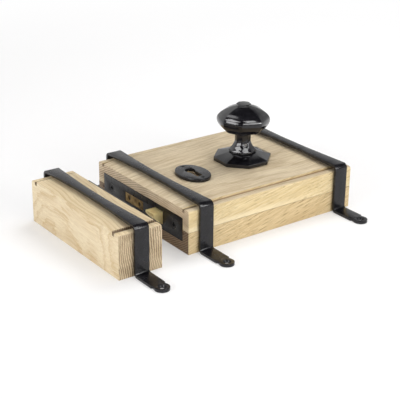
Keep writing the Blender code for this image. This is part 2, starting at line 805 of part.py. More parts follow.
# The latch: measured from the latch's middle line, at the forend's face
def latch(brass, steel, slide, datum):
    half = LATCH_HIGH / 2
    knee = half - LATCH_NOSE - LATCH_KNEE_DROP * (LATCH_HIGH - LATCH_NOSE)
    side = [
        (-LATCH_THROW, half),
        (-LATCH_THROW, half - LATCH_NOSE),
        (-LATCH_KNEE_OUT * LATCH_THROW, knee),
        (0, -half),
        (LATCH_HEAD, -half),
        (LATCH_HEAD, half),
    ]
    bolt = prism(
        "latch_bolt", side, -LATCH_WIDTH / 2, LATCH_WIDTH / 2, "Y", brass, slide
    )
    rod = TAIL_SQUARE / 2
    hook_low = -rod - HOOK_BELOW
    tail = block(
        "join_latch_tail",
        (LATCH_HEAD - PAST, HOOK_X + HOOK_THICK / 2),
        (-rod, rod),
        (-rod, rod),
        None,
        slide,
    )
    hook = block(
        "join_latch_hook",
        (HOOK_X, HOOK_X + HOOK_THICK),
        (hook_low, HOOK_RISE),
        (-ARM_THICK / 2, ARM_THICK / 2),
        None,
        slide,
    )
    fuse(bolt, tail, hook)
    start = LATCH_HEAD + SPRING_WIRE + SEAT
    end = GUIDE_X - SPRING_WIRE - SEAT
    coil = spring("latch_spring", start, end, steel, datum)
    coil.location = (0, LATCH_Y, MID_Z)
    return bolt


def spring(name, start, end, look, parent, per_turn=12, wire_sides=6):
    """A round wire coiled along X."""
    bm = bmesh.new()
    rings = []
    steps = SPRING_TURNS * per_turn
    for step in range(steps + 1):
        angle = 2 * math.pi * step / per_turn
        out = Vector((0, math.cos(angle), math.sin(angle)))
        middle = out * SPRING_RADIUS + Vector((start + (end - start) * step / steps, 0, 0))
        ring = []
        for side in range(wire_sides):
            turn = 2 * math.pi * side / wire_sides
            offset = out * math.cos(turn) + Vector((math.sin(turn), 0, 0))
            ring.append(bm.verts.new(middle + offset * SPRING_WIRE))
        rings.append(ring)
    for first, second in zip(rings, rings[1:]):
        for i in range(wire_sides):
            j = (i + 1) % wire_sides
            bm.faces.new((first[i], first[j], second[j], second[i]))
    bm.faces.new(rings[0])
    bm.faces.new(rings[-1])
    return smooth(piece(name, bm, look, parent))


# The dead bolt: measured from its middle line, at the forend's face
def dead_bolt(brass, steel, slide):
    half = BOLT_WIDTH / 2
    head = block(
        "dead_bolt",
        (BOLT_FACE, BOLT_FACE + BOLT_HEAD),
        (-half, half),
        (-BOLT_HIGH / 2, BOLT_HIGH / 2),
        brass,
        slide,
    )
    near = BOLT_TAIL_NEAR
    far = BOLT_TAIL_FAR
    step = near + BOLT_TAIL_STEP
    talon = KEY_X + BOLT_THROW / 2 - TALON_WIDTH / 2
    plate = [
        (BOLT_HEAD - PAST, near),
        (talon, near),
        (talon, near + TALON_DEPTH),
        (talon + TALON_WIDTH, near + TALON_DEPTH),
        (talon + TALON_WIDTH, near),
        (talon + TALON_WIDTH + 2 * STUMP_LONG, near),
        (talon + TALON_WIDTH + 2 * STUMP_LONG, step),
        (BOLT_TAIL_END, step),
        (BOLT_TAIL_END, far),
        (BOLT_HEAD - PAST, far),
    ]
    low = BOLT_TAIL_Z - MID_Z
    tail = prism("join_bolt_tail", plate, low, low + BOLT_TAIL_THICK, "Z", None, slide)
    fuse(head, tail)
    slot = arc((PIVOT_X + BOLT_THROW, PIVOT_SIDE), (POST_SLOT, POST_SLOT), -90, 90, 8)
    slot += arc((PIVOT_X, PIVOT_SIDE), (POST_SLOT, POST_SLOT), 90, 270, 8)
    cut(head, prism("cut_post_slot", slot, low - PAST, low + 2 * PAST, "Z", None, slide))
    wide = STUMP_WIDE / 2
    long = STUMP_LONG / 2
    cut(
        head,
        block(
            "cut_stump_seat",
            (STUMP_X - long - SEAT, STUMP_X + long + SEAT),
            (PIVOT_SIDE - wide - SEAT, PIVOT_SIDE + wide + SEAT),
            (low - PAST, low + 2 * PAST),
            None,
            slide,
        ),
    )
    block(
        "bolt_stump",
        (STUMP_X - long, STUMP_X + long),
        (PIVOT_SIDE - wide, PIVOT_SIDE + wide),
        (low, CEILING_Z - MID_Z - 2 * RUN),
        steel,
        slide,
    )
    for number, out in ((1, -PIN_OUT), (2, PIN_OUT)):
        loose = PIN_RADIUS + SEAT / 2
        bore = [(loose, -PAST), (loose, PIN_LENGTH + PIN_SINK + SEAT)]
        centre = (0, out, 0)
        cut(head, turned(f"cut_roller_{number}", bore, centre, "X", 20, 0, None, slide))
        pin = [(PIN_RADIUS, BOLT_FACE + PIN_SINK), (PIN_RADIUS, PIN_LENGTH + PIN_SINK)]
        smooth(turned(f"roller_pin_{number}", pin, centre, "X", 20, 0, steel, slide))
    return head


# The levers: measured from their pivot
def lever_outline(belly):
    """A lever with its eye at the pivot, its belly over the key and its nose to the left."""
    key = KEY_X - PIVOT_X
    foot = -LEVER_FOOT
    outline = arc((0, 0), (LEVER_EYE, LEVER_EYE), -LEVER_WRAP, LEVER_WRAP, 14)
    outline += [(-LEVER_LEVEL, LEVER_RISE), (NOSE_CORNER - LEVER_NOSE, LEVER_RISE - LEVER_FALL)]
    outline += [(-LEVER_NOSE, LEVER_RISE - NOSE_TOP), (-LEVER_NOSE, foot + NOSE_LOW)]
    return outline + arc((key, foot), (BELLY_HALF, belly), 180, 360, 8)


def lever(number, brass, steel, pivot):
    low = BOLT_TAIL_TOP + RUN + (number - 1) * LEVER_PITCH
    high = low + LEVER_THICK
    belly = BELLY_DROPS[(number - 1) % len(BELLY_DROPS)]
    plate = prism(f"lever_{number}", lever_outline(belly), low, high, "Z", brass, pivot)
    eye = [(PIVOT_RADIUS + RUN, low - PAST), (PIVOT_RADIUS + RUN, high + PAST)]
    cut(plate, turned(f"cut_eye_{number}", eye, (0, 0, 0), "Z", 24, 0, None, pivot))
    # The stump's way in the lever, from where it rests to where the full throw leaves it
    start = STUMP_X - PIVOT_X
    lift = math.radians(LEVER_LIFT)
    end = (start - BOLT_THROW) * math.cos(lift)
    drop = (start - BOLT_THROW) * math.sin(lift)
    spare = STUMP_LONG / 2 + 2 * SEAT
    middle = (start + end) / 2
    gate = (start - BOLT_THROW / 2) * math.sin(lift / 2)
    share = (GATE_BAR + STUMP_LONG) / (start - end)
    tall = STUMP_WIDE / 2 - drop * share / 2 + 2 * SEAT
    bar = GATE_BAR / 2
    opening = [
        (end - spare, -POCKET_LOW),
        (middle - bar, -POCKET_LOW),
        (middle - bar, gate - tall),
        (middle + bar, gate - tall),
        (middle + bar, -POCKET_LOW),
        (start + spare, -POCKET_LOW),
        (start + spare, POCKET_HIGH),
        (middle + bar, POCKET_HIGH),
        (middle + bar, gate + tall),
        (middle - bar, gate + tall),
        (middle - bar, POCKET_HIGH),
        (end - spare, POCKET_HIGH),
    ]
    cut(plate, prism(f"cut_gate_{number}", opening, low - PAST, high + PAST, "Z", None, pivot))
    root = -LEAF_ROOT
    seat = LEVER_RISE - LEAF_SEAT
    slot = LEAF_THICK / 2 + SEAT
    cut(
        plate,
        block(
            f"cut_leaf_seat_{number}",
            (root - slot, root + slot),
            (seat, LEVER_RISE + PAST),
            (low - PAST, high + PAST),
            None,
            pivot,
        ),
    )
    bend = (root, LEVER_RISE + LEAF_STEM)
    path = [(root, seat + SEAT), bend, (-LEAF_TIP, LEAF_RISE)]
    outline = bent_bar(path, LEAF_BEND, LEAF_THICK, 4)
    prism(f"lever_spring_{number}", outline, low + SEAT, high - SEAT, "Z", steel, pivot)
    return plate


# The escutcheon
def escutcheon(iron, datum):
    bm = bmesh.new()
    rings = []
    ease = (SHIELD_EASE, SHIELD_EASE)
    rim = arc((SHIELD_EASE, SHIELD_TOP - SHIELD_EASE), ease, 180, 90, 3)
    for inset, z in [(0, SHIELD_LOW)] + rim:
        outline = ellipse(SHIELD_WIDE / 2 - inset, SHIELD_LONG / 2 - inset, KEY_X, SHIELD_Y)
        rings.append([bm.verts.new((x, y, z)) for x, y in outline])
    count = len(rings[0])
    for lower, upper in zip(rings, rings[1:]):
        for i in range(count):
            j = (i + 1) % count
            bm.faces.new((lower[i], lower[j], upper[j], upper[i]))
    bm.faces.new(rings[0])
    bm.faces.new(rings[-1])
    shield = piece("escutcheon", bm, iron, datum)
    key = prism(
        "cut_shield_key", keyhole_outline(), SHIELD_LOW - PAST, SHIELD_TOP + PAST, "Z", None, datum
    )
    cut(shield, key)
    return smooth(shield)


def shield_screws(shield, boards, iron, datum):
    for side, out in (("near", -SHIELD_SCREW_OUT), ("far", SHIELD_SCREW_OUT)):
        centre = (KEY_X, SHIELD_Y + out, 0)
        hole = countersunk(
            f"cut_shield_{side}",
            centre,
            "Z",
            SHIELD_SCREW_CORE + SEAT,
            SHIELD_SCREW_HEAD + 1.5 * SEAT,
            SHIELD_TOP,
            SHIELD_LOW - PAST,
            SHIELD_TOP + PAST,
        )
        hole.parent = datum
        cut(shield, hole)
        core = SHIELD_SCREW_CORE + SEAT
        pilot = [(core, SHIELD_TOP - SHIELD_SCREW_LENGTH - SEAT), (core, CASE_HEIGHT + PAST)]
        cut(boards[0], turned(f"cut_shield_pilot_{side}", pilot, centre, "Z", 12, 0, None, datum))
        wood_screw(
            f"escutcheon_screw_{side}",
            SHIELD_TOP - SEAT,
            -1,
            centre,
            "Z",
            SHIELD_SCREW_HEAD,
            SHIELD_SCREW_CORE,
            SHIELD_SCREW_LENGTH - SEAT,
            iron,
            datum,
        )


# The knob and what turns with it: measured from the spindle's axis
def rose(iron, datum):
    profile = [
        (ROSE_RADIUS, ROSE_LOW),
        (ROSE_RADIUS, ROSE_LOW + ROSE_EDGE),
        (ROSE_TOP, ROSE_LOW + ROSE_HIGH),
    ]
    made = turned("rose", profile, (KNOB_X, KNOB_Y, 0), "Z", FACETS, ROSE_TURN, iron, datum)
    bore = [(ROSE_BORE, ROSE_LOW - PAST), (ROSE_BORE, ROSE_LOW + ROSE_HIGH + PAST)]
    return cut(made, turned("cut_rose_bore", bore, (KNOB_X, KNOB_Y, 0), "Z", 24, 0, None, datum))


def knob_profile():
    lip = [(KNOB_FOOT - KNOB_EASE, 0), (KNOB_FOOT, KNOB_EASE), (KNOB_FOOT, KNOB_LIP - KNOB_EASE)]
    neck = []
    for step in range(9):
        share = step / 8
        flare = (KNOB_FOOT - NECK_SHY - NECK_RADIUS) * (1 - share) ** NECK_CURVE
        neck.append((NECK_RADIUS + flare, KNOB_LIP + (NECK_HIGH - KNOB_LIP) * share))
    rise = (BULB_NECK - NECK_RADIUS, BULB_START - NECK_HIGH)
    throat = arc((BULB_NECK, NECK_HIGH), rise, 180, 90, 5)[1:]
    under = (BULB_RADIUS - BULB_NECK, BULB_MIDDLE - BULB_START)
    bulb = arc((BULB_NECK, BULB_MIDDLE), under, 270, 360, 12)[1:]
    crown = math.radians(CROWN_ARC)
    wide = (BULB_RADIUS - BUTTON_RADIUS) / (1 - math.cos(crown))
    over = (wide, (BULB_TOP - BULB_MIDDLE) / math.sin(crown))
    bulb += arc((BULB_RADIUS - wide, BULB_MIDDLE), over, 0, CROWN_ARC, 10)[1:]
    button = [(BUTTON_RADIUS, KNOB_HIGH - KNOB_EASE), (BUTTON_RADIUS - KNOB_EASE, KNOB_HIGH)]
    return lip + neck + throat + bulb + button


def knob(iron, steel, axis):
    profile = [(radius, KNOB_LOW + height) for radius, height in knob_profile()]
    handle = smooth(turned("knob", profile, (0, 0, 0), "Z", FACETS, KNOB_REST, iron, axis))
    half = SPINDLE / 2 + SEAT
    top = KNOB_LOW + SOCKET_DEPTH
    cut(
        handle,
        block("cut_socket", (-half, half), (-half, half), (KNOB_LOW - PAST, top), None, axis),
    )
    half = SPINDLE / 2
    block("spindle", (-half, half), (-half, half), (SPINDLE_END, top - SEAT), steel, axis)
    height = KNOB_LOW + GRUB_HIGH
    corner = SPINDLE / 2 * math.sqrt(2)
    bore = [(GRUB_RADIUS + SEAT, 0), (GRUB_RADIUS + SEAT, 2 * KNOB_FOOT)]
    hole = turned("cut_grub_hole", bore, (0, 0, height), "X", 20, 0, None, axis)
    hole.rotation_euler.z = math.radians(GRUB_TURN)
    cut(handle, hole)
    profile = [(GRUB_RADIUS, corner + SEAT), (GRUB_RADIUS, GRUB_OUT)]
    grub = turned("grub_screw", profile, (0, 0, height), "X", 20, 0, steel, axis)
    grub.rotation_euler.z = math.radians(GRUB_TURN)
    recess = [(GRUB_SOCKET, GRUB_OUT - GRUB_SOCKET_DEEP), (GRUB_SOCKET, GRUB_OUT + PAST)]
    key = turned("cut_grub_key", recess, (0, 0, height), "X", 6, 0, None, axis)
    key.rotation_euler.z = math.radians(GRUB_TURN)
    smooth(cut(grub, key))
    return handle


def follower(brass, axis):
    boss = [
        (BOSS_RADIUS, FLOOR_Z - SHEET),
        (BOSS_RADIUS, FLOOR_Z + RUN),
        (HUB_RADIUS, FLOOR_Z + RUN),
        (HUB_RADIUS, CEILING_Z - RUN),
        (BOSS_RADIUS, CEILING_Z - RUN),
        (BOSS_RADIUS, CAP_TOP),
    ]
    hub = turned("follower", boss, (0, 0, 0), "Z", 32, 0, brass, axis)
    lean = math.radians(-90 - KNOB_TURN / 2)
    along = Vector((math.cos(lean), math.sin(lean)))
    side = Vector((-along.y, along.x))
    neck = along * (ARM_REACH - ARM_TIP)
    root = along * (HUB_RADIUS - PAST)
    arm = [root - side * ARM_HALF * 2, neck - side * ARM_HALF]
    tip = along * ARM_REACH
    for step in range(13):
        angle = math.radians(-120 + 20 * step)
        arm.append(tip + (along * math.cos(angle) + side * math.sin(angle)) * ARM_TIP)
    arm += [neck + side * ARM_HALF, root + side * ARM_HALF * 2]
    outline = [tuple(point) for point in arm]
    half = ARM_THICK / 2
    fuse(hub, prism("join_arm", outline, MID_Z - half, MID_Z + half, "Z", None, axis))
    bore = SPINDLE / 2 + SEAT
    way = (FLOOR_Z - SHEET - PAST, CAP_TOP + PAST)
    return cut(hub, block("cut_square_bore", (-bore, bore), (-bore, bore), way, None, axis))


# The keep
def mouths(depth, spare, datum, label):
    """Cutters for the bolts' mouths, in line with the bolts."""
    made = []
    for name, y, wide, high in (
        ("latch", LATCH_Y, LATCH_WIDTH, LATCH_HIGH),
        ("bolt", BOLT_Y, BOLT_WIDTH, BOLT_HIGH),
    ):
        made.append(
            block(
                f"cut_{label}_{name}",
                (REBATE_X - depth, KEEP_INNER + PAST),
                (y - wide / 2 - spare, y + wide / 2 + spare),
                (MID_Z - high / 2 - spare, MID_Z + high / 2 + spare),
                None,
                datum,
            )
        )
    return made


def keep(oak, iron, datum):
    oak_block = prism(
        "keep_block",
        board_outline(KEEP_NEAR, KEEP_FAR, 0, CASE_HEIGHT),
        KEEP_OUTER,
        KEEP_INNER,
        "X",
        oak,
        datum,
    )
    ease = KEEP_ROUND
    corner = [(KEEP_INNER + PAST, CASE_HEIGHT - ease)]
    corner += arc((KEEP_INNER - ease, CASE_HEIGHT - ease), (ease, ease), 0, 90, 6)
    corner += [(KEEP_INNER - ease, CASE_HEIGHT + PAST), (KEEP_INNER + PAST, CASE_HEIGHT + PAST)]
    edge = prism("cut_keep_edge", corner, KEEP_NEAR - PAST, KEEP_FAR + PAST, "Y", None, datum)
    rebate = block(
        "cut_keep_rebate",
        (REBATE_X, KEEP_INNER + PAST),
        (PLATE_NEAR - SEAT, PLATE_FAR + SEAT),
        (PLATE_LOW - SEAT, CASE_HEIGHT + PAST),
        None,
        datum,
    )
    cut(oak_block, edge, rebate, *mouths(MOUTH_DEPTH, MOUTH_FREE, datum, "keep"))
    plate = block(
        "keep_plate",
        (PLATE_X, PLATE_X + PLATE_THICK),
        (PLATE_NEAR, PLATE_FAR),
        (PLATE_LOW, PLATE_TOP),
        iron,
        datum,
    )
    cut(plate, *mouths(PAST, MOUTH_FREE - SEAT, datum, "plate"))
    outer = PLATE_X + PLATE_THICK
    for side, y in (("near", PLATE_NEAR + PLATE_SCREW_IN), ("far", PLATE_FAR - PLATE_SCREW_IN)):
        centre = (0, y, PLATE_SCREW_Z)
        shank = DOME_SHANK + SEAT
        way = [(shank, outer - DOME_LENGTH - SEAT), (shank, outer + PAST)]
        hole = turned(f"cut_dome_{side}", way, centre, "X", 12, 0, None, datum)
        cut(oak_block, hole)
        cut(plate, hole)
        profile = [(DOME_SHANK, outer - DOME_LENGTH), (DOME_SHANK, outer + SEAT / 2)]
        for step in range(6):
            angle = math.radians(15 * step)
            profile.append((
                DOME_RADIUS * math.cos(angle),
                outer + SEAT / 2 + DOME_HIGH * math.sin(angle),
            ))
        smooth(turned(f"keep_screw_{side}", profile, centre, "X", 16, 0, iron, datum))
    return oak_block


def build():
    clear_scene()
    oak = finish("oak", (0.63, 0.49, 0.31), 0.0, 0.55)
    iron = finish("black_iron", (0.02, 0.02, 0.022), 0.4, 0.35)
    brass = finish("brass", (0.62, 0.47, 0.2), 1.0, 0.35)
    steel = finish("steel", (0.45, 0.45, 0.47), 1.0, 0.4)

    datum = empty("lock_datum", (CASE_LEFT, CASE_NEAR, 0))
    knob_axis = empty("knob_axis", (KNOB_X, KNOB_Y, 0), datum)
    latch_slide = empty("latch_slide", (0, LATCH_Y, MID_Z), datum)
    bolt_slide = empty("bolt_slide", (0, BOLT_Y, MID_Z), datum)
    lever_pivot = empty("lever_pivot", (PIVOT_X, PIVOT_Y, 0), datum)

    boards = case_boards(oak, datum)
    strap("strap_left", LEFT_STRAP_IN, 0, CASE_WIDTH, iron, datum)
    strap("strap_right", CASE_LENGTH - RIGHT_STRAP_IN, 0, CASE_WIDTH, iron, datum)
    strap("strap_keep", KEEP_INNER - KEEP_STRAP_IN, KEEP_NEAR, KEEP_FAR, iron, datum)

    ways = bolt_ways(datum)
    bearing, key = follower_ways(datum)
    cut(forend(iron, datum), *ways)
    for side, y in FOREND_SCREWS:
        centre = (0, y, MID_Z)
        wood_screw(
            f"forend_screw_{side}",
            SEAT,
            1,
            centre,
            "X",
            SCREW_HEAD,
            SCREW_SHANK,
            SCREW_LENGTH - SEAT,
            iron,
            datum,
        )
    lock_tray(steel, ways, bearing, key, datum)
    lock_cap(steel, bearing, key, datum)
    cap_screws(steel, datum)

    latch(brass, steel, latch_slide, datum)
    dead_bolt(brass, steel, bolt_slide)
    for number in range(1, LEVERS + 1):
        lever(number, brass, steel, lever_pivot)

    shield = escutcheon(iron, datum)
    shield_screws(shield, boards, iron, datum)
    rose(iron, datum)
    knob(iron, steel, knob_axis)
    follower(brass, knob_axis)
    keep(oak, iron, datum)


build()
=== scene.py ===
# %% [markdown]
# # A box lock in oak and iron
#
# A box lock is a wooden case that is screwed to the face of a door. This one is two oak boards
# with a steel lock body between them, bound by two bent iron straps. Beside it stands the keep,
# the oak block on the door frame that the latch and the dead bolt enter.
#
# The solid shapes come from the part's own model. This lesson gives them their looks in Blender:
# a camera, the finishes, finer versions of the pieces whose edges catch the light, and a studio.

import json
import math

import bmesh
import bpy
from mathutils import Matrix, Vector


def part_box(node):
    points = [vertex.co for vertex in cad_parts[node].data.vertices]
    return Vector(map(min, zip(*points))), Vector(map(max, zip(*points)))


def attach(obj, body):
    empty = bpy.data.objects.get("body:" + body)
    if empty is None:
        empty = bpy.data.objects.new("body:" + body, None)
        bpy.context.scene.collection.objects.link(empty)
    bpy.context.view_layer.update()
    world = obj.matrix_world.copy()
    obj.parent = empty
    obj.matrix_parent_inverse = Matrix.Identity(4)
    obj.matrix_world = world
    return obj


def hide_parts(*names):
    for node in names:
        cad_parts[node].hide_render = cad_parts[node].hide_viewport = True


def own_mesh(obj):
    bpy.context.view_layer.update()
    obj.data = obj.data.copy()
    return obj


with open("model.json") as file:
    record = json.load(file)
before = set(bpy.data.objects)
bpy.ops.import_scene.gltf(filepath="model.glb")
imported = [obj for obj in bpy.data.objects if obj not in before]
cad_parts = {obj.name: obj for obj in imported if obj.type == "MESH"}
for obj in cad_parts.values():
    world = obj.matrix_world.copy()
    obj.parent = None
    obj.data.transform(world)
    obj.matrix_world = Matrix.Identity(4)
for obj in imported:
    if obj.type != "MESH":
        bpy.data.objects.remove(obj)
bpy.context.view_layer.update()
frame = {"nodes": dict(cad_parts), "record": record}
nodes = frame["nodes"]
body_of_node = {
    node: body
    for body, held in frame["record"]["behaviour"]["bodies"].items()
    for node in held
}
slot_of_node = {
    entry["node"]: entry["material_slot"] for entry in frame["record"]["subparts"]
}

# %% [markdown]
# ## Where things are
#
# The case's near left bottom corner is the handiest point to measure from, because the case
# stands square. Its board tells where that corner is, so nothing here repeats the floor plan.

# %% The corner that places are measured from
MM = 0.001
lower_box = [Vector(spot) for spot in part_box("case_lower_board")]
upper_box = [Vector(spot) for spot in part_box("case_upper_board")]
corner = lower_box[0]
JOINT = (lower_box[1].z - corner.z) / MM  # height of the joint between the two boards


def at(x, y, z):
    """A place given in millimetres from the case's corner."""
    return corner + Vector((x, y, z)) * MM


print("case", [round(side / MM, 1) for side in upper_box[1] - corner], "mm")

# %% [markdown]
# ## The camera
#
# The photograph was taken with a long lens from the near left, looking down by about 23 degrees.
# A long lens keeps the straps almost parallel. The place comes from fitting the case's corners,
# the straps and the bolts to where they lie in the picture, so it is given in numbers and not by
# eye. The small roll is the real camera's.

# %% Place the camera
CAMERA_PLACE = (-538.4, -749.9, 451.4)  # in millimetres from the case's corner
HEADING = 53.70  # degrees from +X, seen from above
DOWN = 23.24
ROLL = 0.65
LENS = 101.1  # in millimetres
SENSOR = 36  # the picture's width on the sensor, in millimetres

camera_data = bpy.data.cameras.new("photograph")
camera_data.lens = LENS
camera_data.sensor_width = SENSOR
camera_data.sensor_fit = "HORIZONTAL"
camera_data.clip_start = 0.05
camera_data.clip_end = 20
camera = bpy.data.objects.new("photograph", camera_data)
bpy.context.scene.collection.objects.link(camera)
heading, down, roll = (math.radians(angle) for angle in (HEADING, DOWN, ROLL))
forward = Vector((
    math.cos(heading) * math.cos(down),
    math.sin(heading) * math.cos(down),
    -math.sin(down),
))
level = Vector((math.sin(heading), -math.cos(heading), 0))
upright = level.cross(forward)
right = level * math.cos(roll) + upright * math.sin(roll)
up = upright * math.cos(roll) - level * math.sin(roll)
turn = Matrix((right, up, -forward)).transposed()
camera.matrix_world = Matrix.Translation(at(*CAMERA_PLACE)) @ turn.to_4x4()
bpy.context.scene.camera = camera
print("camera", [round(value, 3) for value in camera.location])

# %% [markdown]
# ## Sums in a shader
#
# A wood or paint finish is a sum over the surface, and wiring dozens of Math nodes by hand is
# slow to read. One small class wraps an output socket, so that `1 - pores` adds its Math node by
# itself. Every other kind of node comes from the one method `node`.


# %% The class that wraps a socket
class Wire:
    """An output socket in a node tree, used in sums as a number is."""

    def __init__(self, tree, socket=None):
        self.tree = tree
        self.socket = socket

    def node(self, kind, settings=None, inputs=None, out=0):
        made = self.tree.nodes.new(kind)
        for name, value in (settings or {}).items():
            setattr(made, name, value)
        for key, value in (inputs or {}).items():
            plug(made, key, value)
        return Wire(self.tree, made.outputs[out])

    def math(self, operation, *values):
        return self.node("ShaderNodeMath", {"operation": operation}, dict(enumerate(values)))

    def __add__(self, other):
        return self.math("ADD", self, other)

    def __sub__(self, other):
        return self.math("SUBTRACT", self, other)

    def __mul__(self, other):
        return self.math("MULTIPLY", self, other)

    def __truediv__(self, other):
        return self.math("DIVIDE", self, other)

    def __pow__(self, other):
        return self.math("POWER", self, other)

    def __radd__(self, other):
        return self.math("ADD", other, self)

    def __rsub__(self, other):
        return self.math("SUBTRACT", other, self)

    def __rmul__(self, other):
        return self.math("MULTIPLY", other, self)

    def __abs__(self):
        return self.math("ABSOLUTE", self)

    def fraction(self):
        return self.math("FRACT", self)

    def least(self, other):
        return self.math("MINIMUM", self, other)

    def between(self, low, high):
        """0 below low, 1 above high and a soft step between them."""
        settings = {"interpolation_type": "SMOOTHSTEP"}
        return self.node("ShaderNodeMapRange", settings, {0: self, 1: low, 2: high})

    def mix(self, first, second):
        """A number between two numbers, with this wire as the share of the second."""
        return self.node("ShaderNodeMix", None, {0: self, 2: first, 3: second})

    def blend(self, first, second):
        """A colour between two colours, with this wire as the share of the second."""
        settings = {"data_type": "RGBA"}
        return self.node("ShaderNodeMix", settings, {0: self, 6: first, 7: second}, 2)

    def part(self, axis):
        return self.node("ShaderNodeSeparateXYZ", None, {0: self}, "XYZ".index(axis))

    def stretch(self, x, y, z):
        settings = {"operation": "MULTIPLY"}
        return self.node("ShaderNodeVectorMath", settings, {0: self, 1: (x, y, z)})

    def shift(self, other):
        settings = {"operation": "ADD"}
        return self.node("ShaderNodeVectorMath", settings, {0: self, 1: other})

    def noise(self, scale, detail, roughness, out=0):
        inputs = {"Vector": self, "Scale": scale, "Detail": detail, "Roughness": roughness}
        return self.node("ShaderNodeTexNoise", None, inputs, out)

    def place(self):
        """The place of each point in its own object, in metres."""
        return self.node("ShaderNodeTexCoord", out="Object")


def plug(made, socket, value):
    """Link a wire to a node's input, or set the input to a plain value."""
    if isinstance(value, Wire):
        value.tree.links.new(value.socket, made.inputs[socket])
    else:
        made.inputs[socket].default_value = value


NOISE_MIDDLE = 0.5
print("sums, steps, blends and noise for node trees")

# %% [markdown]
# ## Colours and new finishes
#
# A picture gives its colours from 0 to 255 on a curve, and a shader wants them straight, so they
# are converted here once. Each finish starts from Blender's Principled shader, which covers wood,
# lacquer and metal alike. Fine relief tilts its normal with a Bump node and costs no faces.


# %% Helpers for every finish
def rgb(red, green, blue):
    """A colour given as a picture gives it, from 0 to 255, on the shader's straight scale."""
    parts = []
    for value in (red, green, blue):
        share = value / 255
        parts.append(share / 12.92 if share <= 0.04045 else ((share + 0.055) / 1.055) ** 2.4)
    return (*parts, 1)


def new_finish(name):
    """A material, its Principled shader and a wire to start from."""
    material = bpy.data.materials.new(name)
    material.use_nodes = True
    tree = material.node_tree
    return material, tree.nodes["Principled BSDF"], Wire(tree)


def emboss(shader, height, strength, depth):
    """Tilt the shader's normal by this height, whose full step is so many metres deep."""
    inputs = {"Strength": strength, "Distance": depth, "Height": height}
    plug(shader, "Normal", height.node("ShaderNodeBump", None, inputs))


print("pale oak as a shader colour", [round(value, 3) for value in rgb(214, 194, 160)])

# %% [markdown]
# ## What is particular to the boards
#
# The upper board and the keep have a bead along two edges, with a groove beside it. The solids
# have the groove's shape, and the shade inside it is painted into the wood's colour, darker still
# along the keep and at the case's ends, where a strap's shadow falls into it. The near side has a
# pale stripe just above the joint, and at the right end that joint has opened to a hairline. Each
# mark is found by its place on the board, as a wire that is 1 there and 0 elsewhere. A painted
# mask would need an image, and this needs only the sizes. They are in millimetres, and a pair of
# them is where a soft step starts and ends.

# %% Grooves, band and open joint
BEAD = 7.0  # width of the bead along a board's near and far edges
QUIRK = 3.0  # width of the groove beside it
BEAD_SIDE = (0.6, 0.1)  # where the painted shade starts, before the bead's far side
UNSHADED_FADE = 0.8  # over which the painted shade fades upwards
FLOOR_FADE = (5, 4)  # below the board's top, under the groove
GROOVE_SIDE = 0.1
BAND_FOOT = (-0.5, 1)  # above the joint
BAND_TOP = (3, 6.5)
BAND_END = (60, 190)  # along the case
HAIRLINE = (0.15, 0.5)  # half its width
OPEN_FROM = (188, 190)
LEFT_STRAP_EDGE = (16, 24)
RIGHT_STRAP_EDGE = (176, 184)
# Painted shade that darkens the grooves
GROOVE_SHADE = rgb(146, 106, 66)
# Painted shadow that a strap throws into the grooves
GROOVE_STRAP_SHADOW = rgb(84, 58, 36)
JOINT_SHADOW = rgb(96, 70, 46)
SHADE_AND_JOINT_SHARE = 0.7  # how much of the grooves' painted shade or the joint's shadow covers the wood


def groove_of(board, y, z, unshaded):
    """1 in a board's two grooves, below their unshaded upper stretch, and 0 on its other surfaces.
    """
    low, high = ((Vector(spot) - corner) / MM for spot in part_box(board))
    edge = (y - low.y).least(high.y - y)
    past_bead = edge.between(BEAD - BEAD_SIDE[0], BEAD - BEAD_SIDE[1])
    past_groove = edge.between(BEAD + QUIRK, BEAD + QUIRK + GROOVE_SIDE)
    off_floor = z.between(high.z - FLOOR_FADE[0], high.z - FLOOR_FADE[1])
    at_top = z.between(high.z - unshaded - UNSHADED_FADE, high.z - unshaded)
    return past_bead * (1 - past_groove) * (off_floor * (1 - at_top))


def pale_band(x, z, on_top):
    """1 on the pale stripe of the near side, just above the joint, that fades to the right."""
    foot = z.between(JOINT + BAND_FOOT[0], JOINT + BAND_FOOT[1])
    tall = foot * (1 - z.between(JOINT + BAND_TOP[0], JOINT + BAND_TOP[1]))
    return tall * (1 - x.between(*BAND_END)) * (1 - on_top)


def open_joint(x, z):
    """1 on the hairline between the two boards, which has opened at the right end only."""
    line = 1 - abs(z - JOINT).between(*HAIRLINE)
    return line * x.between(*OPEN_FROM)


def marked_and_shaded(wood, board, spot, on_top, tones):
    """The wood's colour with its pale band, its open joint and painted shade in its grooves."""
    x, y, z = spot
    if tones["band"]:
        wood = (pale_band(x, z, on_top) * tones["band"]).blend(wood, tones["pale"])
    wood = (open_joint(x, z) * SHADE_AND_JOINT_SHARE).blend(wood, JOINT_SHADOW)
    # Painted shadow: a strap's shadow darkens the grooves along the keep and at the case's ends
    strap_shadow = 1 - x.between(*LEFT_STRAP_EDGE) * (1 - x.between(*RIGHT_STRAP_EDGE))
    shade_colour = strap_shadow.blend(GROOVE_SHADE, GROOVE_STRAP_SHADOW)
    return (groove_of(board, y, z, tones["groove_unshaded"]) * SHADE_AND_JOINT_SHARE).blend(wood, shade_colour)


print("joint at", round(JOINT, 2), "mm, grooves", QUIRK, "mm wide")

# %% [markdown]
# ## The tree inside the boards
#
# Oak is a ring-porous wood: each year starts with a band of open pores that show as dark dashes
# along the grain, and as dots on an end. An image would stretch at the ends of the boards. A
# solid texture doesn't, because it gives a colour to every point in space, as the tree does. So
# the first step is a place in the tree: how far along, across and through the grain. The grain
# wanders a little, and a wide flat top shows the rings cut at a low angle.

# %% Places and patterns in the tree
WANDER_PACE = 0.012  # per millimetre
SWAY_UP = 0.5  # how much less the grain wanders in height than sideways
FLAT_CUT = 0.88  # how much less the height counts on a top
RING_WANDER = 0.9  # how unevenly the rings run, in years
END_WANDER = 0.7

